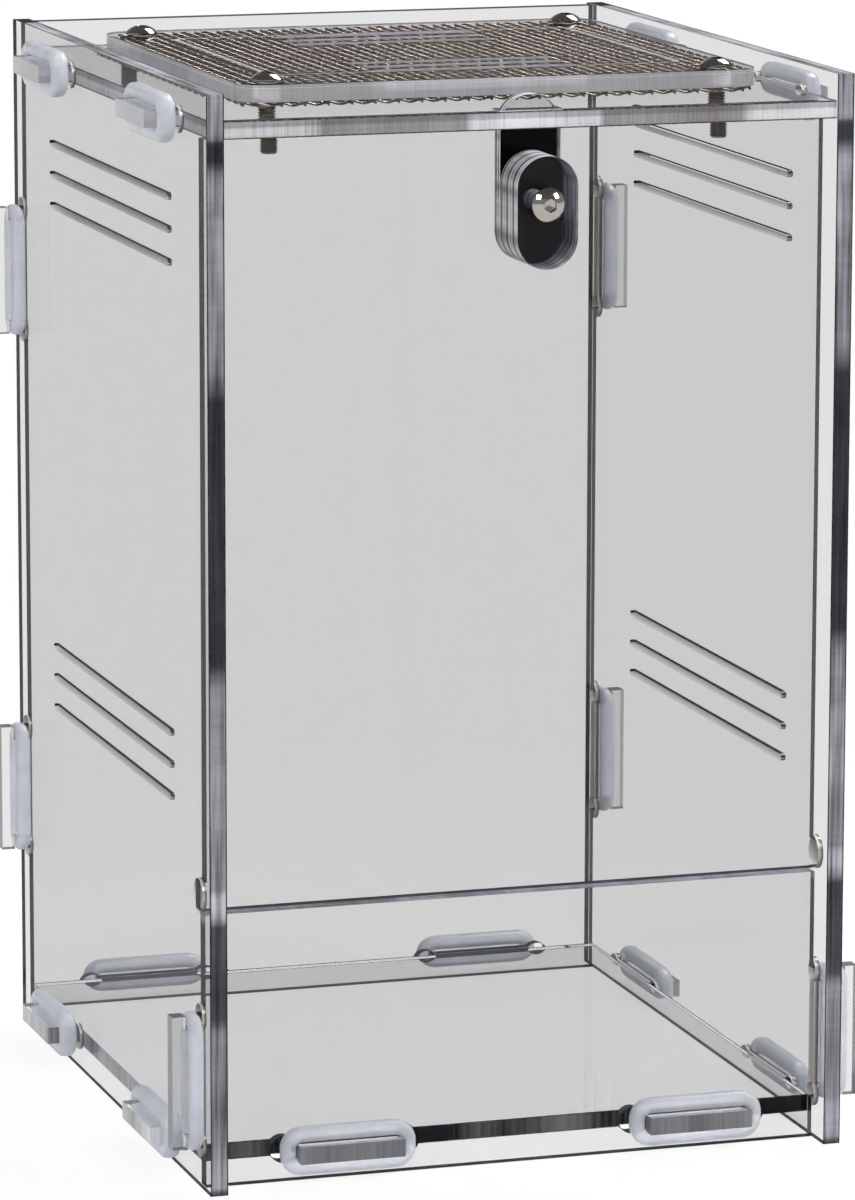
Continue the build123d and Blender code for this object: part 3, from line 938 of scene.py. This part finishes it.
@dataclass
class Screws:
    """The four lid screws and the latch screw."""

    spacing: float = 79.0 * MM

    def corner_tree(self) -> NodeTree:
        """Builds the geometry tree that sets one screw on each corner of a square.

        Returns:
            The tree.
        """
        tree, given, end = geometry_tree("corner_screws", {
            "Spacing": ("NodeSocketFloat", self.spacing), "Centre": ("NodeSocketVector", None),
            "Screw": ("NodeSocketObject", None), "Head Steel": ("NodeSocketMaterial", None),
            "Thread Steel": ("NodeSocketMaterial", None)})
        add = partial(add_node, tree)
        size = given.outputs
        corners = add("GeometryNodeMeshGrid", None, {
            "Size X": size["Spacing"], "Size Y": size["Spacing"], "Vertices X": 2, "Vertices Y": 2})
        single = add("GeometryNodeObjectInfo", None, {"Object": size["Screw"]})
        placed = add("GeometryNodeInstanceOnPoints", None, {
            "Points": corners, "Instance": single.outputs["Geometry"]})
        moved = add("GeometryNodeTransform", None, {"Geometry": placed, "Translation": size["Centre"]})
        real = add("GeometryNodeRealizeInstances", None, [moved])
        heads = add("GeometryNodeSetMaterial", None, {"Geometry": real, "Material": size["Head Steel"]})
        below = add(VECTORS, "SUBTRACT", [add("GeometryNodeInputPosition"), size["Centre"]])
        height = add("ShaderNodeSeparateXYZ", None, [below])
        under = add(MATH, "LESS_THAN", [height.outputs[2], UNDER_HEAD])
        threads = add("GeometryNodeSetMaterial", None, {
            "Geometry": heads, "Selection": under, "Material": size["Thread Steel"]})
        tree.links.new(threads.outputs[0], end.inputs[0])
        return tree

    def build(self, *steels: Material) -> None:
        """Makes all screws in the places of their frame nodes.

        Args:
            steels: The heads' finish and the threads'.
        """
        kind = ButtonScrew()
        low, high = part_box("lid_screws")
        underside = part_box("lid_top_plate")[1].z
        centre = (low + high) / 2
        single = place_object("screw_pattern", kind.mesh("screw_pattern", underside - low.z, steels))
        mesh = grown_mesh("button_screws", self.corner_tree(), {
            "Spacing": self.spacing, "Centre": (centre.x, centre.y, underside), "Screw": single,
            "Head Steel": steels[0], "Thread Steel": steels[1]})
        bpy.data.objects.remove(single)
        seat(place_object("button_screws", mesh), "frame", "stainless", "lid_screws")
        low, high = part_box("latch_screw")
        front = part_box("latch_grip_3")[0].y
        mesh = kind.mesh("grip_screw", high.y - front, steels)
        forward = Matrix.Rotation(math.pi / 2, 4, "X")
        mesh.transform(Matrix.Translation((0, front, (low.z + high.z) / 2)) @ forward)
        seat(place_object("grip_screw", mesh), "latch", "stainless", "latch_screw")


@dataclass
class SiliconeRings:
    """The soft rings that hold the tabs: flat bands with full rounded edges, deeper on the plain tabs."""

    tab_width: float = 18.3 * MM
    tab_thickness: float = 3.0 * MM
    clearance: float = 0.12 * MM
    wall: float = 2.5 * MM
    depth: float = 3.1 * MM
    hooked_depth: float = 2.55 * MM
    bend: float = 2.3 * MM
    bend_steps: int = 7
    edge_share: float = 0.46
    edge_steps: int = 5

    def tree(self) -> NodeTree:
        """Builds the geometry tree of one ring, lying flat about the origin.

        Returns:
            The tree.
        """
        number, whole = "NodeSocketFloat", "NodeSocketInt"
        tree, given, end = geometry_tree("silicone_ring", {
            "Length": (number, 0.02), "Height": (number, 0.006), "Bend": (number, self.bend),
            "Wall": (number, self.wall), "Depth": (number, self.depth), "Edge": (number, 0.001),
            "Bend Steps": (whole, self.bend_steps), "Edge Steps": (whole, self.edge_steps),
            "Material": ("NodeSocketMaterial", None)})
        add = partial(add_node, tree)
        size = given.outputs
        outlines = []
        for width, height, radius, steps in (("Length", "Height", "Bend", "Bend Steps"),
                                             ("Wall", "Depth", "Edge", "Edge Steps")):
            plain = add("GeometryNodeCurvePrimitiveQuadrilateral", None, {
                "Width": size[width], "Height": size[height]})
            outlines.append(add("GeometryNodeFilletCurve", {"mode": "POLY"}, {
                "Curve": plain, "Count": size[steps], "Radius": size[radius], "Limit Radius": True}))
        upright = add("GeometryNodeSetCurveNormal", {"mode": "Z_UP"}, {"Curve": outlines[0]})
        band = add("GeometryNodeCurveToMesh", None, {"Curve": upright, "Profile Curve": outlines[1]})
        smooth = add("GeometryNodeSetShadeSmooth", None, {"Geometry": band})
        real = add("GeometryNodeRealizeInstances", None, [smooth])
        dressed = add("GeometryNodeSetMaterial", None, {"Geometry": real, "Material": size["Material"]})
        tree.links.new(dressed.outputs[0], end.inputs[0])
        return tree

    def build(self, rubber: Material) -> None:
        """Puts a ring in the place of each ring of the frame, against the same panel face.

        Args:
            rubber: The silicone.
        """
        tree = self.tree()
        around = 2 * self.clearance + self.wall
        for node in [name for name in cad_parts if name.startswith("ring_")]:
            low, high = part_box(node)
            size = high - low
            middle = (low + high) / 2
            long, thin = (pick(range(3), key=lambda axis: size[axis]) for pick in (max, min))
            outwards = 1 if middle[thin] > 0 else -1
            depth = self.hooked_depth if long == 2 else self.depth
            mesh = grown_mesh("silicone_" + node, tree, {
                "Length": self.tab_width + around, "Height": self.tab_thickness + around, "Depth": depth,
                "Wall": self.wall, "Edge": self.edge_share * self.wall, "Bend": self.bend,
                "Material": rubber})
            along, out = Vector(), Vector()
            along[long] = 1.0
            out[thin] = outwards
            across = out.cross(along)
            middle[thin] = (low if outwards > 0 else high)[thin] + outwards * depth / 2
            turn = Matrix((along, across, out)).transposed().to_4x4()
            mesh.transform(Matrix.Translation(middle) @ turn)
            seat(place_object("silicone_" + node, mesh), "frame", "silicone", node)


@dataclass(frozen=True)
class SoftBox:
    """A square lamp that the camera doesn't see."""

    name: str
    place: tuple[float, float, float]
    side: float
    power: float

    def hang(self, target: Vector) -> None:
        """Hangs the lamp so that it faces a target.

        Args:
            target: The point that it faces.
        """
        data = bpy.data.lights.new(self.name, "AREA")
        data.size = self.side
        data.energy = self.power
        lamp = bpy.data.objects.new(self.name, data)
        lamp.location = self.place
        lamp.rotation_mode = "QUATERNION"
        lamp.rotation_quaternion = (target - Vector(self.place)).to_track_quat("-Z", "Y")
        lamp.visible_camera = False
        bpy.context.scene.collection.objects.link(lamp)


@dataclass
class Studio:
    """White studio: pale floor, soft lamps, white surroundings and the camera."""

    eye: tuple[float, float, float] = (-0.33544, -1.05639, 0.29911)
    heading: float = math.radians(17.666)
    dip: float = math.radians(10.840)
    roll: float = math.radians(0.110)
    lens: float = 193.085
    sensor: float = 36.0
    nearest: float = 0.01
    floor_size: float = 8.0
    floor_drop: float = 0.1 * MM
    floor_paint: str = "#F4F4F4"
    white_near: float = 0.86
    white_from: float = 0.08
    white_to: float = 0.30
    room: Stops = ((0.0, 1.0), (0.03, 0.35), (0.35, 0.4), (0.5, 0.15), (1.0, 0.12))
    lamps: tuple[SoftBox, ...] = (
        SoftBox("left_softbox", (-0.75, -0.75, 0.85), 0.45, 9.0),
        SoftBox("right_softbox", (0.85, -0.55, 0.75), 0.40, 7.0),
        SoftBox("top_softbox", (0.52, 0.35, 1.0), 0.42, 12.0),
    )
    lamp_target: tuple[float, float, float] = (0, 0, 0.09)
    bounces: int = 32
    glossy_bounces: int = 24

    def camera(self) -> None:
        """Sets the camera at the photograph's viewpoint."""
        data = bpy.data.cameras.new("camera")
        data.lens = self.lens
        data.sensor_width = self.sensor
        data.clip_start = self.nearest
        made = bpy.data.objects.new("camera", data)
        flat = math.cos(self.dip)
        ahead = Vector((math.sin(self.heading) * flat, math.cos(self.heading) * flat, -math.sin(self.dip)))
        made.rotation_mode = "QUATERNION"
        made.rotation_quaternion = ahead.to_track_quat("-Z", "Y") @ Quaternion((0, 0, 1), self.roll)
        made.location = self.eye
        bpy.context.scene.collection.objects.link(made)
        bpy.context.scene.camera = made

    def floor(self) -> None:
        """Lays the pale floor, which turns to plain white away from the object."""
        material, tree = new_material("pale_floor")
        add = partial(add_node, tree)
        spot = add("ShaderNodeTexCoord")
        far = add(VECTORS, "LENGTH", [add(VECTORS, "MULTIPLY", [spot.outputs["Object"], LEVEL])])
        away = add(RANGE, {"interpolation_type": "SMOOTHSTEP"}, [
            far.outputs["Value"], self.white_from, self.white_to, self.white_near, 1.0])
        paint = add("ShaderNodeBsdfDiffuse", None, {"Color": self.floor_paint})
        white = add("ShaderNodeEmission", None, {"Color": (1, 1, 1, 1), "Strength": 1.0})
        path = add("ShaderNodeLightPath").outputs
        adding = {"operation": "ADD", "use_clamp": True}
        seen = add(MATH, adding, [path["Is Camera Ray"], path["Is Glossy Ray"]])
        seen = add(MATH, adding, [seen, path["Is Transmission Ray"]])
        share = add(MATH, "MULTIPLY", [seen, away])
        mixed = add("ShaderNodeMixShader", None, [share, paint, white])
        add("ShaderNodeOutputMaterial", None, {"Surface": mixed})
        half = self.floor_size / 2
        mesh = bpy.data.meshes.new("floor")
        square = ((-half, -half), (half, -half), (half, half), (-half, half))
        corners = [(x, y, -self.floor_drop) for x, y in square]
        mesh.from_pydata(corners, [], [(0, 1, 2, 3)])
        mesh.materials.append(material)
        place_object("floor", mesh)

    def world(self) -> None:
        """Surrounds the object with a studio that is white down at the table and dark above it."""
        world = bpy.data.worlds.new("studio")
        bpy.context.scene.world = world
        world.use_nodes = True
        tree = world.node_tree
        tree.nodes.clear()
        spot = add_node(tree, "ShaderNodeTexCoord")
        up = add_node(tree, "ShaderNodeSeparateXYZ", None, [spot.outputs["Generated"]])
        ramp = add_node(tree, "ShaderNodeValToRGB", None, [up.outputs[2]])
        fill_ramp(ramp, self.room)
        back = add_node(tree, "ShaderNodeBackground", None, {"Color": ramp})
        add_node(tree, "ShaderNodeOutputWorld", None, {"Surface": back})

    def build(self) -> None:
        """Sets up the whole studio."""
        self.camera()
        self.floor()
        self.world()
        for lamp in self.lamps:
            lamp.hang(Vector(self.lamp_target))
        scene = bpy.context.scene
        scene.view_settings.view_transform = "Standard"
        scene.cycles.max_bounces = self.bounces
        scene.cycles.transmission_bounces = self.bounces
        scene.cycles.glossy_bounces = self.glossy_bounces
        scene.cycles.transparent_max_bounces = self.bounces


def main() -> None:
    """Builds and dresses the enclosure, then the studio round it."""
    logging.basicConfig(level=logging.INFO, format="%(message)s")
    steel = POLISHED.build()
    AcrylicSheets().build()
    Hardware().build(steel)
    VentMesh().build(WIRE.build())
    Screws().build(steel, THREAD.build())
    SiliconeRings().build(SILICONE.build())
    Studio().build()


if __name__ == "__main__":
    main()
